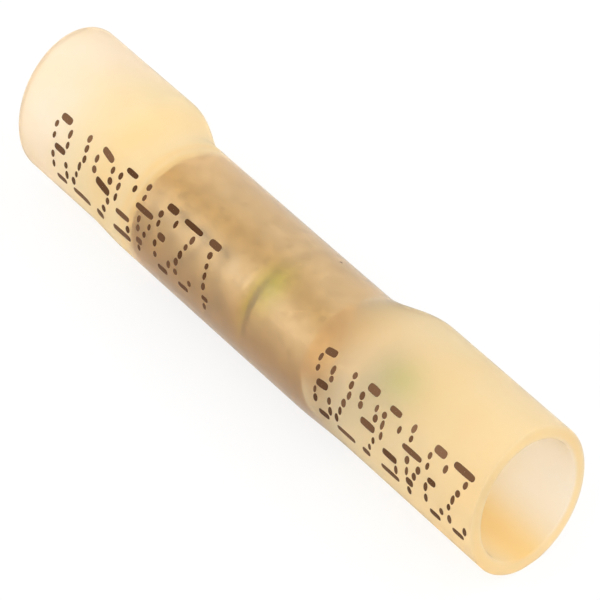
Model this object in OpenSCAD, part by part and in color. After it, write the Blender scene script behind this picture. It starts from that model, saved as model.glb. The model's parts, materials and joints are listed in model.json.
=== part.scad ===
// Heat shrink butt connector: a translucent sleeve shrunk at its middle onto a metal crimp barrel.
// It lies along X on the plane z = 0, with the open end nearest the viewer at +X.

/* [Sleeve] */
// Length of the sleeve along its axis
sleeve_len = 40; // [34:0.5:46]
// Outer diameter of the two open bells
bell_od = 8; // [7.4:0.1:8.6]
// Wall of the bells
bell_wall = 0.74; // [0.5:0.02:0.84]
// Wall where the tube has shrunk onto the barrel
grip_wall = 0.9; // [0.6:0.05:1.2]
// Middle of the shrunk stretch, measured from mid-length
grip_mid = -2.6; // [-4:0.1:2]
// Length of the shrunk stretch
grip_len = 15.6; // [12:0.2:17]
// Length of the neck that opens into the far bell
far_neck_len = 2.9; // [1.5:0.1:4.5]
// Length of the neck that opens into the near bell
near_neck_len = 4.4; // [1.5:0.1:5]
// Depth by which the soft tube's underside is flat, where it comes to rest
lie_flat = 0.08; // [0:0.01:0.12]

/* [End cuts] */
// Angle by which the near end is cut out of square
near_cut_tilt = 10; // [0:1:12]
// Angle by which the far end is cut out of square
far_cut_tilt = 13; // [0:1:15]
// Way round the axis towards which the cuts lean outwards, from +Y
cut_lean = 208; // [0:1:359]

/* [Barrel] */
// Length of the crimp barrel
barrel_len = 18.2; // [14:0.2:20]
// Outer diameter of the barrel
barrel_od = 5.4; // [4.8:0.1:5.7]
// Bore that takes the stripped wire
barrel_bore = 3.6; // [3:0.1:4]
// Place of the barrel's middle, measured from mid-length
barrel_mid = -0.1; // [-1.5:0.1:1.5]
// Inside chamfer that leads a wire into the bore
lead_in = 0.35; // [0.1:0.05:0.5]
// Radius broken off the outer edges of the barrel
edge_break = 0.15; // [0.05:0.05:0.3]

/* [Wire stop] */
// Place of the rolled stop, measured from mid-length
stop_pos = 0.5; // [-2:0.1:2]
// Width of the rolled groove
stop_width = 1.4; // [1:0.1:3]
// Depth of the groove on the outside
stop_dip = 0.3; // [0.1:0.05:0.5]
// Height of the ridge on the inside
stop_ridge = 0.6; // [0.3:0.05:0.9]

/* [Fit] */
// Clearance between the barrel and the sleeve that grips it
seat_clearance = 0.01; // [0.005:0.005:0.03]

/* [Hidden] */
$fn = 96;

bell_r = bell_od / 2;
bell_bore_r = bell_r - bell_wall;
barrel_r = barrel_od / 2;
grip_bore_r = barrel_r + seat_clearance;
grip_r = grip_bore_r + grip_wall;

// The barrel lies against one side of the bells' bore, so the tube necks in on the other side only.
barrel_offset = bell_bore_r - barrel_r - 2 * seat_clearance;
// Turned about its axis until the bells and the shrunk middle touch the ground together.
rest_turn = acos(min(1, (bell_r - grip_r) / barrel_offset));
offset_y = -barrel_offset * sin(rest_turn);
offset_z = -barrel_offset * cos(rest_turn);
bell_z = bell_r - lie_flat;

grip_x0 = grip_mid - grip_len / 2;
grip_x1 = grip_mid + grip_len / 2;
far_neck_x = grip_x0 - far_neck_len;
near_neck_x = grip_x1 + near_neck_len;

// The lofted necks differ by this little from the cylinders that they run into.
lap = 0.01;
lap_run = 0.3;
neck_steps = 8;
neck_sides = 60;
overcut = 3;

// Runs smoothly from 0 to 1 with level ends.
function ease(u) = u * u * (3 - 2 * u);

// One ring of a neck: share is 0 on the bells' axis and 1 on the barrel's axis.
function neck_ring(x, share, radius) = [
    for (i = [0 : neck_sides - 1])
        let (a = 360 * i / neck_sides)
        [x, share * offset_y + radius * cos(a), share * offset_z + radius * sin(a)]
];

// Rings along a neck between two shares, with a short run into the cylinder at each end.
function neck_rings(x0, x1, share0, share1, bell_radius, grip_radius) = [
    for (i = [-1 : neck_steps + 1])
        let (
            u = min(1, max(0, i / neck_steps)),
            run = i < 0 ? -lap_run : i > neck_steps ? lap_run : 0,
            share = share0 + (share1 - share0) * ease(u)
        )
        neck_ring(x0 + (x1 - x0) * u + run, share, bell_radius + (grip_radius - bell_radius) * share)
];

// A closed solid through rings of points, from the lowest x to the highest.
module loft(rings) {
    n = len(rings[0]);
    last = len(rings) - 1;
    sides = [
        for (r = [0 : last - 1], i = [0 : n - 1], half = [0, 1])
            let (j = (i + 1) % n)
            half == 0
                ? [r * n + i, (r + 1) * n + i, (r + 1) * n + j]
                : [r * n + i, (r + 1) * n + j, r * n + j]
    ];
    start_cap = [[for (i = [0 : n - 1]) i]];
    end_cap = [[for (i = [n - 1 : -1 : 0]) last * n + i]];
    polyhedron(points = [for (r = rings) each r], faces = concat(sides, start_cap, end_cap));
}

// A round bar along X between two places.
module bar_x(x0, x1, r) {
    translate([x0, 0, 0])
        rotate([0, 90, 0])
            cylinder(h = x1 - x0, r = r);
}

// The whole length of one surface of the sleeve: bell, neck, shrunk middle, neck and bell.
module tube_form(bell_radius, grip_radius, neck_growth, reach) {
    bell_n = bell_radius + neck_growth;
    grip_n = grip_radius + neck_growth;
    bar_x(-sleeve_len / 2 - reach, far_neck_x, bell_radius);
    loft(neck_rings(far_neck_x, grip_x0, 0, 1, bell_n, grip_n));
    translate([0, offset_y, offset_z])
        bar_x(grip_x0, grip_x1, grip_radius);
    loft(neck_rings(grip_x1, near_neck_x, 1, 0, bell_n, grip_n));
    bar_x(near_neck_x, sleeve_len / 2 + reach, bell_radius);
}

// Everything on the inner side of one slightly slanted cut: end is 1 at the near end, -1 at the far end.
module inside_cut(end, tilt) {
    tall = 6 * bell_od;
    reach = sleeve_len + 2 * overcut;
    translate([end * sleeve_len / 2, 0, 0])
        rotate([0, 0, -tilt])
            translate([-end * reach / 2, 0, 0])
                cube([reach, tall, tall], center = true);
}

// The space between the two slanted end cuts.
module between_cuts() {
    rotate([cut_lean, 0, 0])
        intersection() {
            inside_cut(1, near_cut_tilt);
            inside_cut(-1, far_cut_tilt);
        }
}

// Everything above the ground that the tube lies on, seen from the bells' axis.
module above_ground() {
    reach = sleeve_len + 2 * overcut;
    translate([-reach / 2, -bell_od, -bell_z])
        cube([reach, 2 * bell_od, 2 * bell_od]);
}

module sleeve() {
    color([1, 0.9, 0.66, 0.6])
        translate([0, 0, bell_z])
            intersection() {
                difference() {
                    tube_form(bell_r, grip_r, -lap, overcut);
                    tube_form(bell_bore_r, grip_bore_r, lap, 2 * overcut);
                }
                between_cuts();
                above_ground();
            }
}

// Height of a rolled bump across its width: 1 at the stop's middle, 0 at its edges.
function bump(u) = (1 + cos(180 * u)) / 2;

// Half section of the barrel: [distance from the axis, place along it].
function barrel_section() = let (
    half = barrel_len / 2,
    bore_r = barrel_bore / 2,
    stop_x = stop_pos - barrel_mid,
    steps = 10
) concat(
    [[bore_r + lead_in, -half], [bore_r, -half + lead_in]],
    [for (i = [-steps : steps])
        [bore_r - stop_ridge * bump(i / steps), stop_x + i / steps * stop_width / 2]],
    [[bore_r, half - lead_in], [bore_r + lead_in, half]],
    [for (a = [0 : 30 : 90])
        [barrel_r - edge_break * (1 - sin(a)), half - edge_break * (1 - cos(a))]],
    [for (i = [steps : -1 : -steps])
        [barrel_r - stop_dip * bump(i / steps), stop_x + i / steps * stop_width / 2]],
    [for (a = [90 : -30 : 0])
        [barrel_r - edge_break * (1 - sin(a)), -half + edge_break * (1 - cos(a))]]
);

module crimp_barrel() {
    color([0.74, 0.71, 0.66])
        translate([barrel_mid, offset_y, bell_z + offset_z])
            rotate([0, 90, 0])
                rotate_extrude()
                    polygon(barrel_section());
}

sleeve();
crimp_barrel();
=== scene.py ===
import json
import math

import bpy
import numpy as np
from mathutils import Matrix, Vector


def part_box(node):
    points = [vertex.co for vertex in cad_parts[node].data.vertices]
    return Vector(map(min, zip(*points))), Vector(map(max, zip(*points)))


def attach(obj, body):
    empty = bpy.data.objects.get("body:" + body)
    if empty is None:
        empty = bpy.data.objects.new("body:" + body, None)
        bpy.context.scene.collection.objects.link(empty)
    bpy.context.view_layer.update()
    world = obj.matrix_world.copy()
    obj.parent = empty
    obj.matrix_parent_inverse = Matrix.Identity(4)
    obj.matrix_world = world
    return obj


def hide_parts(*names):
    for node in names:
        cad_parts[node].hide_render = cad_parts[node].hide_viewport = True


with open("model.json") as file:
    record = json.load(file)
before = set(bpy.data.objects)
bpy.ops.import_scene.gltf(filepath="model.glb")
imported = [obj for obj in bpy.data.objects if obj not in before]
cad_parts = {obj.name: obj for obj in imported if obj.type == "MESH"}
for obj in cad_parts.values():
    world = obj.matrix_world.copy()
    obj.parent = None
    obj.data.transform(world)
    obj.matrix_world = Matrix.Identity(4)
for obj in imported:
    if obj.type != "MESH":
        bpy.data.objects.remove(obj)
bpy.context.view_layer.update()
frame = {"record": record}

mm = 0.001
degree = math.radians(1)
fullTurn = 2 * math.pi

# Places and sizes that the pieces share: the bells lie on one axis, the barrel on another
mounts = {mount["name"]: mount for mount in frame["record"]["mounts"]}
barrelLow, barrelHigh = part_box("crimp_barrel")
barrelRadius = (barrelHigh.z - barrelLow.z) / 2
barrelBore = mounts["near_wire_bore"]["dims"]["r_mm"] * mm
barrelAxis = np.array([0, (barrelLow.y + barrelHigh.y) / 2, (barrelLow.z + barrelHigh.z) / 2])
bellRadius = 4 * mm
bellBore = 3.26 * mm
bellAxis = np.array([0, 0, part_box("sleeve")[1].z - bellRadius])
offset = barrelAxis - bellAxis       # from the bells' axis to the barrel's


# Scene helpers

def addObject(name, data):
    # one new object, at the origin and linked into the scene
    added = bpy.data.objects.new(name, data)
    bpy.context.scene.collection.objects.link(added)
    return added


def aim(aimed, direction):
    # turns a camera or a lamp, which look along their own -Z, into a direction
    turn = direction.to_track_quat("-Z", "Y")
    aimed.rotation_mode = "QUATERNION"
    aimed.rotation_quaternion = turn
    return turn


# Camera: a long lens, level, looking down at the connector from beside its near end

cameraForm = {
    "azimuth": 54.4 * degree,     # round from the -Y side towards +X
    "elevation": 39.2 * degree,   # above the floor
    "distance": 283 * mm,
    "lens": 332.2,                # in mm, with a sensor of the width below it
    "sensor": 36,
    "clip": (0.01, 10),           # nearest and furthest distance seen, in metres
    "aside": 0.496 * mm,          # the object's middle stands a little left of the frame's middle
    "below": 0.48 * mm,           # and a little above it
}


def makeCamera(form):
    # the bells' axis plus the distance along the two angles' direction, then aside and down
    azimuth, elevation = form["azimuth"], form["elevation"]
    back = Vector((math.sin(azimuth) * math.cos(elevation),
                   -math.cos(azimuth) * math.cos(elevation), math.sin(elevation)))
    data = bpy.data.cameras.new("camera")
    data.lens, data.sensor_width = form["lens"], form["sensor"]
    data.clip_start, data.clip_end = form["clip"]
    camera = addObject("camera", data)
    turn = aim(camera, -back)
    right, up = turn @ Vector((1, 0, 0)), turn @ Vector((0, 1, 0))
    camera.location = (Vector(bellAxis) + back * form["distance"]
                       + right * form["aside"] - up * form["below"])
    bpy.context.scene.camera = camera


makeCamera(cameraForm)
print("camera ready")


# Mesh helpers

def gridFaces(rows, columns, closeRows):
    # quads between neighbours on a grid; columns always wrap round, rows only where they close
    r = np.arange(rows if closeRows else rows - 1)
    r, c = (a.ravel() for a in np.meshgrid(r, np.arange(columns), indexing="ij"))
    nextR, nextC = (r + 1) % rows, (c + 1) % columns
    return np.stack([r * columns + c, nextR * columns + c,
                     nextR * columns + nextC, r * columns + nextC], axis=1)


def makePiece(name, points, faces, material):
    # one smooth object from an array of points and one of quads, with its place in its mesh
    mesh = bpy.data.meshes.new(name)
    mesh.vertices.add(points.size // 3)
    mesh.vertices.foreach_set("co", np.asarray(points, np.float32).ravel())
    mesh.loops.add(faces.size)
    mesh.loops.foreach_set("vertex_index", faces.astype(np.int32).ravel())
    mesh.polygons.add(len(faces))
    firstCorners = np.arange(0, faces.size, faces.shape[1], dtype=np.int32)
    mesh.polygons.foreach_set("loop_start", firstCorners)
    mesh.polygons.foreach_set("use_smooth", np.ones(len(faces), bool))
    mesh.update(calc_edges=True)
    mesh.validate()
    mesh.materials.append(material)
    piece = addObject(name, mesh)
    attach(piece, "root")
    return piece


def giveNumbers(piece, name, numbers):
    # one number for each point of the piece, for its material to read
    data = piece.data.attributes.new(name, "FLOAT", "POINT").data
    data.foreach_set("value", np.asarray(numbers, np.float32).ravel())


def giveColours(piece, name, colours):
    # one opaque colour for each point of the piece
    opaque = np.concatenate([colours, np.ones(colours.shape[:-1] + (1,))], axis=-1)
    data = piece.data.attributes.new(name, "FLOAT_COLOR", "POINT").data
    data.foreach_set("color", opaque.astype(np.float32).ravel())


# Curves and tints

def ease(u):
    # runs smoothly from 0 to 1 with level ends
    u = np.clip(u, 0, 1)
    return u * u * (3 - 2 * u)


def rise(value, start, run):
    # 0 up to the start, then eased up to 1 over the run
    return ease((value - start) / run)


def fall(value, end, run):
    # 1 at first, then eased down over the run to 0 at the end
    return ease((end - value) / run)


def hump(value, middle, spread):
    # 1 at the middle, falling to both sides as a bell curve
    return np.exp(-((value - middle) / spread) ** 2)


def blend(tint, tints, name, share):
    # moves the tint by a share of the way to the named one
    return tint + (np.array(tints[name]) - tint) * np.clip(share, 0, 1)[..., None]


def addStainsAndPaintedLight(tint, tints, stainsAndPaintedLight, x, angle):
    # each stain, and each painted shade and highlight, is a hump along the axis times a hump around
    # it
    for name, strength, along, around in stainsAndPaintedLight:
        tint = blend(tint, tints, name, strength * hump(x, *along) * hump(angle, *around))
    return tint


# Material helpers

def newMaterial(name):
    # a material with its node tree and the shader in it
    material = bpy.data.materials.new(name)
    material.use_nodes = True
    tree = material.node_tree
    return material, tree, tree.nodes["Principled BSDF"]


def node(tree, kind, **values):
    # one node, with each value set as its property or else on its socket of that name
    made = tree.nodes.new(kind)
    for key, value in values.items():
        if hasattr(made, key):
            setattr(made, key, value)
        else:
            made.inputs[key].default_value = value
    return made


def feed(tree, value, socket):
    # a link goes to the socket as a link, anything else as its own value
    if isinstance(value, bpy.types.NodeSocket):
        tree.links.new(value, socket)
    else:
        socket.default_value = value


def attribute(tree, name, output):
    # what the piece's points carry under a name
    return node(tree, "ShaderNodeAttribute", attribute_name=name).outputs[output]


def pattern(tree, kind, output, **values):
    # a texture laid through the piece in its own Object coordinates
    made = node(tree, kind, **values)
    tree.links.new(node(tree, "ShaderNodeTexCoord").outputs["Object"], made.inputs["Vector"])
    return made.outputs[output]


def rangeOf(tree, source, low, high):
    # spreads a value from 0 to 1 between two others
    spread = node(tree, "ShaderNodeMapRange", **{"To Min": low, "To Max": high})
    tree.links.new(source, spread.inputs["Value"])
    return spread.outputs["Result"]


def mathOf(tree, operation, first, second):
    # one operation on two values, each of them a link or a number
    made = node(tree, "ShaderNodeMath", operation=operation)
    feed(tree, first, made.inputs[0])
    feed(tree, second, made.inputs[1])
    return made.outputs[0]


def mixColours(tree, share, first, second, kind="MIX"):
    # from the first colour to the second by a share; the node's sockets are told apart by number
    made = node(tree, "ShaderNodeMix", data_type="RGBA", blend_type=kind)
    for value, number in ((share, 0), (first, 6), (second, 7)):
        feed(tree, value, made.inputs[number])
    return made.outputs[2]


# Crimp barrel: a seamless tinned tube with a stop rolled into it near its middle

barrelForm = {
    "leadIn": 0.35 * mm,          # chamfer inside each mouth
    "leadShares": (0, 0.5, 1),    # rows of points down the chamfer
    "edge": 0.03 * mm,            # rounding outside each mouth
    "edgeSteps": 6,
    "stopPlace": 0.5 * mm,
    "stopWidth": 1.4 * mm,
    "stopDip": 0.18 * mm,         # groove outside
    "stopRidge": 0.6 * mm,        # ridge inside
    "stopSteps": 41,
    "pressed": (152 * degree, 32 * degree),    # where the roller pressed hardest, and how far round
    "pressedElsewhere": 0.2,      # share of the dip on the other side
    "outSteps": 30,               # stations from the stop to each mouth, outside and in the bore
    "boreSteps": 24,
    "boreTintTo": 0.9,            # the bore's tint goes up the lead-in by this share of it
    "around": 160,
    "tints": {
        "tin": (0.95, 0.74, 0.51),
        "amber": (0.76, 0.50, 0.16),
        # painted shade on the underside
        "brown": (0.57, 0.33, 0.09),
        # painted shade in the groove
        "olive": (0.58, 0.45, 0.01),
        # painted highlight beside the groove
        "moss": (0.74, 0.66, 0.06),
        # patina, and painted shade inside the bore
        "verdigrisAndShade": (0.52, 0.50, 0.36),
    },
    # bands along the barrel, each climbing round it over one stretch and fading over another
    "amberStreak": {"angle": 107 * degree, "spread": 17 * degree,
                    "climb": 10 * degree, "climbSpan": (1 * mm, 5 * mm),
                    "strength": 0.9, "fade": 0.4, "fadeSpan": (4.5 * mm, 2 * mm)},
    # the second band is the painted sheen: a painted highlight along the barrel
    "paintedSheen": {"angle": 133 * degree, "spread": 9 * degree,
              "climb": 0 * degree, "climbSpan": (0 * mm, 1 * mm),
              "strength": 1.0, "fade": 0.4, "fadeSpan": (-0.5 * mm, 1.5 * mm)},
    "brownRise": (138 * degree, 50 * degree),  # painted shade: the underside is browner from here, over this turn
    "brownFall": (330 * degree, 60 * degree),  # and up to here
    # painted highlight beside the groove: tint, strength, place past the stop and reach, angle and
    # spread around
    "stopHighlights": (("moss", 0.95, (0.8 * mm, 0.9 * mm), (126 * degree, 26 * degree)),),
    "oliveReach": 0.35 * mm,      # reach of the olive, painted shade, along the barrel, in the groove
    "faceVerdigris": 0.3,         # only a breath of it on the near face
    "faceSpan": (0.3 * mm, 0.2 * mm),          # starting so far inside the face, over this run
    # patterns, each with its tint, and the range of shares that the pattern's 0 to 1 stands for
    "blotch": {"Scale": 420.0, "Detail": 6.0, "Roughness": 0.7},
    "blotchTint": (0.80, 0.79, 0.76, 1),
    "blotchRange": (1.6, -0.6),
    "grain": {"Scale": 1500.0, "Detail": 5.0, "Roughness": 0.7},
    "grainTint": (0.80, 0.77, 0.68, 1),
    "grainRange": (2.6, -1.6),
    # tint and range of the painted sheen's patches, a painted highlight
    "paintedSheenTint": (0.69, 0.57, 0.47, 1),
    "paintedSheenRange": (-2.7, 3.0),
    "roughness": 0.5,
}


def stopSide(angle):
    # 1 on the side of the barrel where the roller pressed hardest, 0 away from it
    return hump(angle, *barrelForm["pressed"])


def stopBump(x):
    # across the rolled stop: a raised cosine wave, 0 at its edges and 1 at its middle
    u = np.clip((x - barrelForm["stopPlace"]) / (barrelForm["stopWidth"] / 2), -1, 1)
    return (1 + np.cos(math.pi * u)) / 2


def stopDent(x, angle):
    # depth of the stop's groove: the bump, times the dip, less of it where the roller pressed less
    elsewhere = barrelForm["pressedElsewhere"]
    return barrelForm["stopDip"] * (elsewhere + (1 - elsewhere) * stopSide(angle)) * stopBump(x)


def bandOf(x, angle, band):
    # a hump around the barrel, whose middle climbs along it, times a strength that fades along it
    middle = band["angle"] + band["climb"] * rise(x, *band["climbSpan"])
    strength = band["strength"] - band["fade"] * rise(x, *band["fadeSpan"])
    return hump(angle, middle, band["spread"]) * strength


def tintBarrel(x, angle, inBore):
    # tin, with an amber streak above, browner underneath as painted shade, olive at the stop as
    # painted shade in its groove and moss beside it as a painted highlight
    form, tints = barrelForm, barrelForm["tints"]
    x, angle, inBore = np.broadcast_arrays(x, angle, inBore)
    tint = np.full(x.shape + (3,), tints["tin"])
    tint = blend(tint, tints, "amber", bandOf(x, angle, form["amberStreak"]))
    # painted shade: browner on the underside
    underneath = rise(angle, *form["brownRise"]) * fall(angle, *form["brownFall"])
    tint = blend(tint, tints, "brown", underneath)
    # painted shade: olive in the groove where the roller pressed; painted highlight: moss beside
    # it, higher up
    past = x - form["stopPlace"]
    tint = addStainsAndPaintedLight(tint, tints, form["stopHighlights"], past, angle)
    tint = blend(tint, tints, "olive", stopSide(angle) * hump(past, 0, form["oliveReach"]))
    # verdigris all through the bore, standing for patina and for painted shade inside it, and a
    # little on the near face
    inside, run = form["faceSpan"]
    onFace = form["faceVerdigris"] * rise(x, barrelHigh.x - inside, run)
    return blend(tint, tints, "verdigrisAndShade", np.maximum(inBore, onFace))


def alongBarrel(inset, steps):
    # stations from mouth to mouth, the mouths' own left out, close together across the stop
    form = barrelForm
    stop = form["stopPlace"] + np.linspace(-0.5, 0.5, form["stopSteps"]) * form["stopWidth"]
    return np.concatenate([np.linspace(barrelLow.x + inset, stop[0], steps)[1:-1], stop,
                           np.linspace(stop[-1], barrelHigh.x - inset, steps)[1:-1]])


def makeBarrel(material):
    # a closed half section, out along the outside and back through the bore, turned about the axis
    form = barrelForm
    low, high, lead, edge = barrelLow.x, barrelHigh.x, form["leadIn"], form["edge"]
    turn = np.linspace(0, math.pi / 2, form["edgeSteps"])
    leadShare = np.array(form["leadShares"])
    outX = alongBarrel(edge, form["outSteps"])
    boreX = alongBarrel(lead, form["boreSteps"])[::-1]
    x = np.concatenate([low + edge * (1 - np.cos(turn)), outX, high - edge * (1 - np.sin(turn)),
                        high - lead * leadShare, boreX, low + lead * leadShare[::-1]])
    radius = np.concatenate([barrelRadius - edge * (1 - np.sin(turn)),
                             np.full(len(outX), barrelRadius),
                             barrelRadius - edge * (1 - np.cos(turn)),
                             barrelBore + lead * (1 - leadShare),
                             barrelBore - form["stopRidge"] * stopBump(boreX),
                             barrelBore + lead * (1 - leadShare[::-1])])
    angle = np.linspace(0, fullTurn, form["around"], endpoint=False)[None, :]
    x, radius = x[:, None], radius[:, None]
    inBore = (radius < barrelBore + form["boreTintTo"] * lead).astype(float)
    outside = radius > (barrelBore + barrelRadius) / 2
    radius = radius - outside * stopDent(x, angle)
    points = np.stack([x + 0 * radius, barrelAxis[1] + radius * np.cos(angle),
                       barrelAxis[2] + radius * np.sin(angle)], axis=-1)
    faces = gridFaces(*radius.shape, closeRows=True)[:, ::-1]
    barrel = makePiece("tinnedBarrel", points, faces, material)
    giveColours(barrel, "tint", tintBarrel(x, angle, inBore))
    # the painted sheen, a painted highlight, as a number for the material
    giveNumbers(barrel, "paintedSheen", bandOf(x, angle, form["paintedSheen"]))
    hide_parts("crimp_barrel")


def makeBarrelMaterial():
    # the points' tint times a blotch and a fine grain, with the painted sheen, a painted highlight,
    # over it in patches
    form = barrelForm
    material, tree, shader = newMaterial("tinned copper")
    blotch = pattern(tree, "ShaderNodeTexNoise", "Fac", **form["blotch"])
    grain = pattern(tree, "ShaderNodeTexNoise", "Fac", **form["grain"])
    shade = mixColours(tree, rangeOf(tree, blotch, *form["blotchRange"]),
                       attribute(tree, "tint", "Color"), form["blotchTint"], "MULTIPLY")
    shade = mixColours(tree, rangeOf(tree, grain, *form["grainRange"]),
                       shade, form["grainTint"], "MULTIPLY")
    patches = mathOf(tree, "MULTIPLY", attribute(tree, "paintedSheen", "Fac"),
                     rangeOf(tree, blotch, *form["paintedSheenRange"]))
    tree.links.new(mixColours(tree, patches, shade, form["paintedSheenTint"]),
                   shader.inputs["Base Color"])
    shader.inputs["Metallic"].default_value = 1.0
    shader.inputs["Roughness"].default_value = form["roughness"]
    return material


# Heat shrink sleeve: a soft frosted tube with two open bells, shrunk onto the barrel between them

sleeveForm = {
    "length": 40 * mm,             # along the axis
    "gripWall": 0.9 * mm,          # where it has shrunk onto the barrel
    "gripSpan": (-10.4 * mm, 5.2 * mm),
    "farNeck": 2.9 * mm,
    "nearNeck": 4.4 * mm,
    "nearTilt": 10 * degree,       # of the end cuts, out of square
    "farTilt": 13 * degree,
    "cutLean": 208 * degree,       # way round towards which the cuts lean outwards
    "slantSpan": (0.72, 0.28),     # start and run of a cut's slant, as shares of half the length
    "lip": 0.07 * mm,              # softened edge of each cut
    "lipSteps": 6,
    "cutSteps": 5,
    "seat": 0.01 * mm,             # clearance round the barrel
    "wetting": 0.015 * mm,         # the lining closes this far round the barrel, so light crosses
    "hook": 0.04 * mm,             # and laps this far in front of the barrel's far end
    "hookSpan": (0.15 * mm, 0.3 * mm),      # from so far inside that end outwards, over this run
    "wave": 0.018 * mm,            # how far the soft wall dips from true round
    "waves": ((310, 3, 0), (170, -2, 1)),   # radians a metre along, times round, and phase
    "seeThrough": 0.8 * mm,        # gap at which the barrel can no longer be made out
    "contactStart": 0.2 * mm,      # run over which the barrel comes into sight at its far end
    "contactEnd": (0.6 * mm, 2.2 * mm),     # gone so far beyond its near end, over this run
    "outerContact": 0.7,           # the outside is less clear than the lining by this factor
    "around": 192,
    # its rings stand closer this far past the barrel's far end, the stop and the grip's near end
    "closeAtEnd": 0.3 * mm,
    "closeAtStop": 0.6,            # as a share of the stop's width
    "closeAtGrip": (0.2 * mm, 1 * mm),
    "steps": (24, 22, 30, 22, 25, 12, 16, 28, 32),   # in each stretch, from the far mouth on
    # its tints, before light passes through it
    "tints": {
        "honey": (1.0, 0.89, 0.64),
        "peach": (0.99, 0.885, 0.77),
        "amber": (1.0, 0.83, 0.50),
        "pink": (1.0, 0.935, 0.86),
        "syrup": (1.0, 0.72, 0.29),
        "toffee": (0.98, 0.78, 0.44),
        "green": (0.87, 0.84, 0.47),
    },
    "farPeach": (-13 * mm, 5 * mm),         # outside, peach from here towards the far mouth
    "neckAmber": 2.4,                       # times the product of the bell's and the grip's shares
    "mouth": {
        "span": (12 * mm, 4 * mm),          # the near mouth's own tints set in here, over this run
        "litAngle": 338 * degree,           # the side of it that takes the light
        "litSpan": (0.1, 0.6),              # cosine from there at which pink, painted light, sets in, and its run
        "liningFrom": 0.9,                  # share through the wall from which a point is inside
        # pink, painted light, on the outside by this share
        "outerPink": 0.6,
        "pool": (267 * degree, 28 * degree),     # syrup inside, as painted shade
        "under": (232 * degree, 42 * degree),    # and as that painted shade shows outside
        "outerSyrup": 0.4,
        # painted light: deeper syrup on the near lip's lit side, by this share
        "lipSyrup": 0.35,
    },
    # outside, toffee over the near bell's upper front
    "facing": {"strength": 0.2, "span": (9 * mm, 3 * mm), "around": (140 * degree, 50 * degree)},
    # syrup round the place where the barrel's far end stops
    "farRim": {"strength": 0.35, "beyond": 0.3 * mm, "reach": 0.3 * mm},
    # toffee over the barrel, and more of it as painted shade on the half turn from this angle on
    "toffeeAndShade": {"allRound": 0.35, "shaded": 0.65, "from": 135 * degree},
    # stains in the lining, with painted shade and a painted highlight: tint, strength, place and
    # reach along, angle and spread around
    "stainsAndPaintedLight": (
        ("toffee", 0.7, (7.2 * mm, 1.6 * mm), (102 * degree, 35 * degree)),   # above the near end
        ("syrup", 0.35, (0.6 * mm, 0.5 * mm), (152 * degree, 20 * degree)),   # painted shade in the groove
        ("green", 1.0, (12.2 * mm, 1.3 * mm), (121 * degree, 15 * degree)),   # painted shade of the barrel's dark bore seen through the wall, before the open end
        ("green", 0.8, (1.5 * mm, 0.7 * mm), (120 * degree, 16 * degree)),    # painted highlight beside the groove
    ),
    "cloud": {"Scale": 240.0, "Detail": 3.0},
    "cloudTint": (0.99, 0.94, 0.84, 1),
    "cloudRange": (-0.6, 1.6),
    "dust": {"Scale": 420.0},
    "dustSize": 0.038,
    "dustTint": (0.30, 0.17, 0.08, 1),
    "transmission": (0.74, 0.95),           # away from the barrel, and on it
    "roughness": (0.62, 0.16),              # likewise
    "refraction": 1.4,
}
gripRadius = barrelRadius + sleeveForm["seat"] + sleeveForm["gripWall"]
gripBore = barrelRadius - sleeveForm["wetting"]


def gripShare(x):
    # 0 on the bells, 1 on the shrunk stretch, eased through each neck
    start, end = sleeveForm["gripSpan"]
    farNeck, nearNeck = sleeveForm["farNeck"], sleeveForm["nearNeck"]
    return np.minimum(rise(x, start - farNeck, farNeck), fall(x, end + nearNeck, nearNeck))


def outerRadius(share):
    # from the bells' radius to the shrunk stretch's by the grip's share
    return bellRadius + (gripRadius - bellRadius) * share


def onSleeve(x, angle, inner=0.0, lift=0.0):
    # a ring that slides from the bells' axis to the barrel's; inner is 0 outside and 1 inside
    form, share = sleeveForm, gripShare(x)
    outside = outerRadius(share)
    inward, run = form["hookSpan"]
    hook = form["hook"] * share * fall(x, barrelLow.x + inward, run)
    inside = bellBore + (gripBore - bellBore) * share - stopDent(x, angle) - hook
    ripple = sum(np.sin(along * x + times * angle + phase) for along, times, phase in form["waves"])
    dip = form["wave"] * (1 + ripple / len(form["waves"])) / 2
    radius = outside + (inside - outside) * inner - dip * (1 - inner) + lift
    y = offset[1] * share + radius * np.cos(angle)
    z = np.maximum(bellAxis[2] + offset[2] * share + radius * np.sin(angle), 0)
    return y, z, radius


def cutShift(x, radius, angle):
    # how far a slanted cut carries a point along the axis, fading out along the bells
    start, run = (share * sleeveForm["length"] / 2 for share in sleeveForm["slantSpan"])
    tilt = np.where(x > 0, math.tan(sleeveForm["nearTilt"]), math.tan(sleeveForm["farTilt"]))
    return tilt * radius * np.cos(angle - sleeveForm["cutLean"]) * rise(np.abs(x), start, run)


def contactShare(x, angle):
    # 1 where the wall lies on the barrel, falling to 0 as a gap opens or the barrel ends
    form = sleeveForm
    away = 1 - np.cos(angle - math.atan2(offset[2], offset[1]))
    gap = (1 - gripShare(x)) * (bellBore - gripBore) * away
    beyond, run = form["contactEnd"]
    overBarrel = rise(x, barrelLow.x, form["contactStart"]) * fall(x, barrelHigh.x + beyond, run)
    return (1 - ease(gap / form["seeThrough"])) * overBarrel


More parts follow.
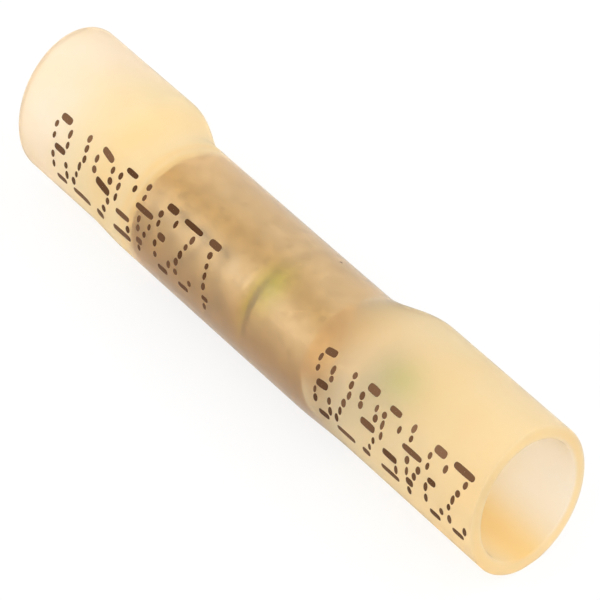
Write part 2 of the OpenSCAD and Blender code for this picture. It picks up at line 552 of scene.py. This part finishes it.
def tintSleeve(x, angle, inner):
    # honey, moved in turn towards each other tint by the share that it has at a place
    form, tints, mouth = sleeveForm, sleeveForm["tints"], sleeveForm["mouth"]
    x, angle, inner = np.broadcast_arrays(x, angle, inner)
    share, outer = gripShare(x), 1 - inner
    tint = np.full(x.shape + (3,), tints["honey"])
    tint = blend(tint, tints, "peach", fall(x, *form["farPeach"]) * outer)
    tint = blend(tint, tints, "amber", form["neckAmber"] * share * (1 - share))
    # painted light and shade: the near mouth is pink inside where it is lit, with a pool of syrup,
    # painted shade, at its lower left
    nearMouth = rise(x, *mouth["span"])
    lit = rise(np.cos(angle - mouth["litAngle"]), *mouth["litSpan"])
    pool, under = hump(angle, *mouth["pool"]), hump(angle, *mouth["under"])
    lining = inner > mouth["liningFrom"]
    tint = blend(tint, tints, "pink",
                 nearMouth * lit * np.where(lining, 1 - pool, mouth["outerPink"]))
    tint = blend(tint, tints, "syrup",
                 nearMouth * np.where(lining, pool, mouth["outerSyrup"] * under))
    # outside, the near bell is a little deeper over its upper front
    facing = form["facing"]
    deeper = facing["strength"] * rise(x, *facing["span"]) * hump(angle, *facing["around"])
    tint = blend(tint, tints, "toffee", deeper * outer)
    # a rim of thicker lining where the barrel's far end stops
    rim = form["farRim"]
    onRim = hump(x, barrelLow.x - rim["beyond"], rim["reach"])
    tint = blend(tint, tints, "syrup", rim["strength"] * onRim)
    # toffee over the barrel, and more of it as painted shade on the side away from the light
    toffeeAndShade = form["toffeeAndShade"]
    shaded = np.sin(np.clip(angle - toffeeAndShade["from"], 0, math.pi))
    tint = blend(tint, tints, "toffee",
                 contactShare(x, angle) * (toffeeAndShade["allRound"] + toffeeAndShade["shaded"] * shaded))
    tint = addStainsAndPaintedLight(tint, tints, form["stainsAndPaintedLight"], x, angle)
    # the lips of the cuts: a parabola through the wall, 1 at its middle
    onLip = 4 * inner * outer
    tint = blend(tint, tints, "amber", onLip)
    # painted light: deeper syrup on the near lip's lit side
    return blend(tint, tints, "syrup", mouth["lipSyrup"] * onLip * nearMouth * lit)


def stationsThrough(places, steps):
    # evenly spaced from each place to the next in turn, with no place twice
    stretches = [np.linspace(start, end, count)[1:]
                 for start, end, count in zip(places, places[1:], steps)]
    return np.concatenate([places[:1], *stretches])


def makeSleeve(material):
    # a closed loop of rings: outside, across the near lip, back inside, across the far lip
    form = sleeveForm
    half, lip = form["length"] / 2, form["lip"]
    start, end = form["gripSpan"]
    beyondStop = form["closeAtStop"] * barrelForm["stopWidth"]
    before, after = form["closeAtGrip"]
    stations = stationsThrough([
        -half + lip, start - form["farNeck"], start, barrelLow.x + form["closeAtEnd"],
        barrelForm["stopPlace"] - beyondStop, barrelForm["stopPlace"] + beyondStop,
        end - before, end + after, end + form["nearNeck"], half - lip], form["steps"])
    # across a lip: out round one edge, straight over the cut face, and in round the other
    wall = bellRadius - bellBore
    turn = np.linspace(0, math.pi / 2, form["lipSteps"])[1:]
    face = np.linspace(lip, wall - lip, form["cutSteps"])[1:-1]
    across = np.concatenate([lip * (1 - np.cos(turn)), face,
                             wall - lip * (1 - np.sin(turn))]) / wall
    along = np.concatenate([lip * np.sin(turn), np.full(len(face), lip), lip * np.cos(turn)])
    x = np.concatenate([stations, half - lip + along,
                        stations[::-1][1:], -half + lip - along[:-1]])[:, None]
    inner = np.concatenate([np.zeros(len(stations)), across,
                            np.ones(len(stations) - 1), across[::-1][:-1]])[:, None]
    angle = np.linspace(0, fullTurn, form["around"], endpoint=False)[None, :]
    y, z, radius = onSleeve(x, angle, inner)
    points = np.stack([x + cutShift(x, radius, angle), y, z], axis=-1)
    faces = gridFaces(*radius.shape, closeRows=True)[:, ::-1]
    sleeve = makePiece("heatShrinkSleeve", points, faces, material)
    # the lining is clearer than the outside, so the barrel shows across a narrow gap too
    clearness = form["outerContact"] + (1 - form["outerContact"]) * inner
    giveNumbers(sleeve, "contact", contactShare(x, angle) * clearness)
    giveColours(sleeve, "tint", tintSleeve(x, angle, inner))
    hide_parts("sleeve")


def makeSleeveMaterial():
    # the points' tint times a soft cloud, with specks of dust; clearer and glossier on the barrel
    form = sleeveForm
    material, tree, shader = newMaterial("frosted amber sleeve")
    cloud = pattern(tree, "ShaderNodeTexNoise", "Fac", **form["cloud"])
    shade = mixColours(tree, rangeOf(tree, cloud, *form["cloudRange"]),
                       attribute(tree, "tint", "Color"), form["cloudTint"], "MULTIPLY")
    # the specks are the points of a sparse pattern that happen to lie in the wall
    dust = pattern(tree, "ShaderNodeTexVoronoi", "Distance", **form["dust"])
    speck = mathOf(tree, "LESS_THAN", dust, form["dustSize"])
    tree.links.new(mixColours(tree, speck, shade, form["dustTint"]), shader.inputs["Base Color"])
    contact = attribute(tree, "contact", "Fac")
    tree.links.new(rangeOf(tree, contact, *form["transmission"]),
                   shader.inputs["Transmission Weight"])
    tree.links.new(rangeOf(tree, contact, *form["roughness"]), shader.inputs["Roughness"])
    shader.inputs["IOR"].default_value = form["refraction"]
    return material


makeSleeve(makeSleeveMaterial())
print("sleeve ready")
makeBarrel(makeBarrelMaterial())
print("barrel ready")


# Printed figures: plain dot-matrix numerals in two groups along the sleeve

printForm = {
    "figures": "12345678",
    "groupStarts": (22.1 * mm, -1.4 * mm),  # where each group's first column stands, near end first
    "columnPitch": 0.31 * mm,
    "rowPitch": 0.54 * mm,
    "topAngle": 186.5 * degree,    # the rows run round the sleeve from here back to its upper side
    "middleTurn": 4.5 * degree,    # and sit this much higher up on the shrunk middle
    "slant": 0.25,                 # columns lean, as on a moving line
    "dotAlong": 0.155 * mm,        # half a dot's size along the sleeve, and around it
    "dotAcross": 0.23 * mm,
    "runAcross": 0.85,             # dots that have run together are slimmer by this factor
    "runSquareness": 3,
    "sizes": (0.8, 1.2),           # factors between which the dots' sizes vary
    "strayAlong": 0.02 * mm,
    "strayAround": 0.03 * mm,
    "endGap": 0.1 * mm,            # nothing is printed closer to the near cut
    # rings of points on a mark, from the middle of its top down to that of its underside
    "rings": (0.02, 0.5, 0.85, 1.0, 0.85, 0.5, 0.02),
    "ringLifts": (1, 1, 0.8, 0, -1, -1, -1),
    "lift": 0.008 * mm,
    "sides": 20,
    "faintAnywhere": 0.35,         # marks are fainter by up to this at random
    "litLastRow": 0.4,           # and paler by this on the last row, on the bells: painted light where that row faces the light
    "litRowPower": 3,               # how steeply that sets in from row to row
    "inkColours": ((0.075, 0.026, 0.004, 1), (0.25, 0.13, 0.065, 1)),   # full, and faint at random and as painted light
    "inkRoughness": 0.6,
    "inkSpecular": 0.15,
    "seed": 5,
    "dots": {
        "1": ("00100", "01100", "00100", "00100", "00100", "00100", "01110"),
        "2": ("01110", "10001", "00001", "00010", "00100", "01000", "11111"),
        "3": ("01110", "10001", "00001", "00110", "00001", "10001", "01110"),
        "4": ("00010", "00110", "01010", "10010", "11111", "00010", "00010"),
        "5": ("11111", "10000", "11110", "00001", "00001", "10001", "01110"),
        "6": ("00110", "01000", "10000", "11110", "10001", "10001", "01110"),
        "7": ("11111", "00001", "00010", "00100", "01000", "01000", "01000"),
        "8": ("01110", "10001", "10001", "01110", "10001", "10001", "01110"),
    },
}


def printRuns():
    # dots side by side on one row have run together: each run is (first column, last column, row)
    runs, column = [], 0
    for figure in printForm["figures"]:
        rows = printForm["dots"][figure]
        for row, line in enumerate(rows):
            start = None
            for i, mark in enumerate(line + "0"):
                if mark == "1" and start is None:
                    start = i
                if mark == "0" and start is not None:
                    runs.append((column + start, column + i - 1, row))
                    start = None
        column += len(rows[0]) + 1
    return np.array(runs, float)


def makePrint(material):
    # each run is a flat lozenge with round ends, laid on the sleeve: a grid of rings by directions
    form = printForm
    random = np.random.default_rng(form["seed"])
    runs = printRuns()
    lastRow = runs[:, 2].max()
    runs = np.concatenate([np.c_[runs, np.full(len(runs), start)] for start in form["groupStarts"]])
    first, last, row, start = runs.T
    down = row * form["rowPitch"]
    x = (start - (first + last) / 2 * form["columnPitch"] - down * form["slant"]
         + random.normal(0, form["strayAlong"], len(runs)))
    halfRun = (last - first) / 2 * form["columnPitch"]
    share = gripShare(x)
    stray = random.normal(0, form["strayAround"], len(runs))
    angle = form["topAngle"] - share * form["middleTurn"] - (down + stray) / outerRadius(share)
    # only what clears the near cut is kept
    lean = math.tan(sleeveForm["nearTilt"]) * np.cos(angle - sleeveForm["cutLean"])
    cut = sleeveForm["length"] / 2 + lean * bellRadius
    kept = x + halfRun + form["dotAlong"] < cut - form["endGap"]
    x, halfRun, angle, row, share = (a[kept] for a in (x, halfRun, angle, row, share))
    sizeAlong, sizeAcross = random.uniform(*form["sizes"], (2, len(x)))
    sizeAcross = sizeAcross * np.where(halfRun > 0, form["runAcross"], 1.0)
    # the outline of each mark, then its rings, as shares of that outline
    around = np.linspace(0, fullTurn, form["sides"], endpoint=False)
    ends = np.tanh(form["runSquareness"] * np.cos(around))
    flatX = halfRun[:, None] * ends + form["dotAlong"] * sizeAlong[:, None] * np.cos(around)
    flatY = form["dotAcross"] * sizeAcross[:, None] * np.sin(around)
    rings = np.array(form["rings"])[None, :, None]
    lift = np.array(form["ringLifts"])[None, :, None] * form["lift"]
    markX = x[:, None, None] + rings * flatX[:, None, :]
    markAngle = angle[:, None, None] + rings * flatY[:, None, :] / bellRadius
    # the slanted ends carry the sleeve's grid along, so the figures are drawn back by as much
    back = cutShift(markX, bellRadius, markAngle)
    back = cutShift(markX - back, bellRadius, markAngle)
    y, z, radius = onSleeve(markX - back, markAngle, lift=lift)
    points = np.stack([markX + 0 * radius, y, z], axis=-1)
    count, ringCount, sides = radius.shape
    firstPoints = np.arange(count) * ringCount * sides
    faces = gridFaces(ringCount, sides, closeRows=False) + firstPoints[:, None, None]
    marks = makePiece("printedFigures", points, faces.reshape(-1, 4), material)
    # fainter at random, and paler on the last rows, which face the light, as painted light, most on
    # the bells
    fadeAndLight = (form["faintAnywhere"] * random.uniform(0, 1, count)
             + form["litLastRow"] * (row / lastRow) ** form["litRowPower"] * (1 - share))
    giveNumbers(marks, "inkFadeAndLight", np.repeat(fadeAndLight, ringCount * sides))


def makeInkMaterial():
    # each mark's own value runs from full ink to faint: faint at random, and paler as painted light
    # on the lit rows
    form = printForm
    material, tree, shader = newMaterial("printing ink")
    ramp = node(tree, "ShaderNodeValToRGB")
    for stop, colour in zip(ramp.color_ramp.elements, form["inkColours"]):
        stop.color = colour
    tree.links.new(attribute(tree, "inkFadeAndLight", "Fac"), ramp.inputs["Fac"])
    tree.links.new(ramp.outputs["Color"], shader.inputs["Base Color"])
    shader.inputs["Roughness"].default_value = form["inkRoughness"]
    shader.inputs["Specular IOR Level"].default_value = form["inkSpecular"]
    return material


makePrint(makeInkMaterial())
print("print ready")


# Floor, world and lamps

stageForm = {
    "reach": 3.0,                 # half the floor's side, in metres
    "drop": 0.02 * mm,            # of the floor under the object
    "grey": (0.9, 0.9, 0.9, 1),
    "roughness": 0.9,
    "white": (1, 1, 1, 1),
    "whiteShare": 0.8,            # share of plain white where the floor is seen, not lit
    "skyLight": 0.95,             # strength of the world as a light
    "skySeen": 1.0,               # and as the background
    "lamps": {
        "softbox": {"place": (-0.2, -0.5, 0.4), "size": 0.6, "watts": 1.2},
        "backFill": {"place": (0.3, 0.5, 0.5), "size": 0.8, "watts": 2.0},
        "mouthFill": {"place": (0.6, -0.15, 0.25), "size": 0.3, "watts": 1.2},
    },
}


def makeFloor(form):
    # one square, pale grey to the light, nearly white to the camera and in gloss and glass
    reach, drop = form["reach"], form["drop"]
    corners = [(-reach, -reach), (reach, -reach), (reach, reach), (-reach, reach)]
    mesh = bpy.data.meshes.new("floor")
    mesh.from_pydata([(x, y, -drop) for x, y in corners], [], [(0, 1, 2, 3)])
    material, tree, shader = newMaterial("white sweep")
    shader.inputs["Base Color"].default_value = form["grey"]
    shader.inputs["Roughness"].default_value = form["roughness"]
    white = node(tree, "ShaderNodeEmission", Color=form["white"], Strength=1.0)
    rays = node(tree, "ShaderNodeLightPath").outputs
    seen = mathOf(tree, "MAXIMUM", rays["Is Camera Ray"], rays["Is Glossy Ray"])
    seen = mathOf(tree, "MAXIMUM", seen, rays["Is Transmission Ray"])
    mix = node(tree, "ShaderNodeMixShader")
    tree.links.new(mathOf(tree, "MULTIPLY", seen, form["whiteShare"]), mix.inputs[0])
    tree.links.new(shader.outputs[0], mix.inputs[1])
    tree.links.new(white.outputs[0], mix.inputs[2])
    tree.links.new(mix.outputs[0], tree.nodes["Material Output"].inputs["Surface"])
    mesh.materials.append(material)
    addObject("floor", mesh)


def makeWorld(form):
    # even white light from all round, a little stronger where the camera sees it
    world = bpy.data.worlds.new("studio")
    world.use_nodes = True
    tree = world.node_tree
    background = tree.nodes["Background"]
    background.inputs["Color"].default_value = form["white"]
    seen = node(tree, "ShaderNodeLightPath").outputs["Is Camera Ray"]
    tree.links.new(rangeOf(tree, seen, form["skyLight"], form["skySeen"]),
                   background.inputs["Strength"])
    bpy.context.scene.world = world


def makeLamp(name, place, size, watts):
    # a square soft light that faces the origin
    data = bpy.data.lights.new(name, "AREA")
    data.shape, data.size, data.energy = "SQUARE", size, watts
    lamp = addObject(name, data)
    lamp.location = place
    aim(lamp, -Vector(place))


makeFloor(stageForm)
makeWorld(stageForm)
for lampName, lamp in stageForm["lamps"].items():
    makeLamp(lampName, **lamp)
bpy.context.scene.view_settings.view_transform = "Standard"
print("stage ready")
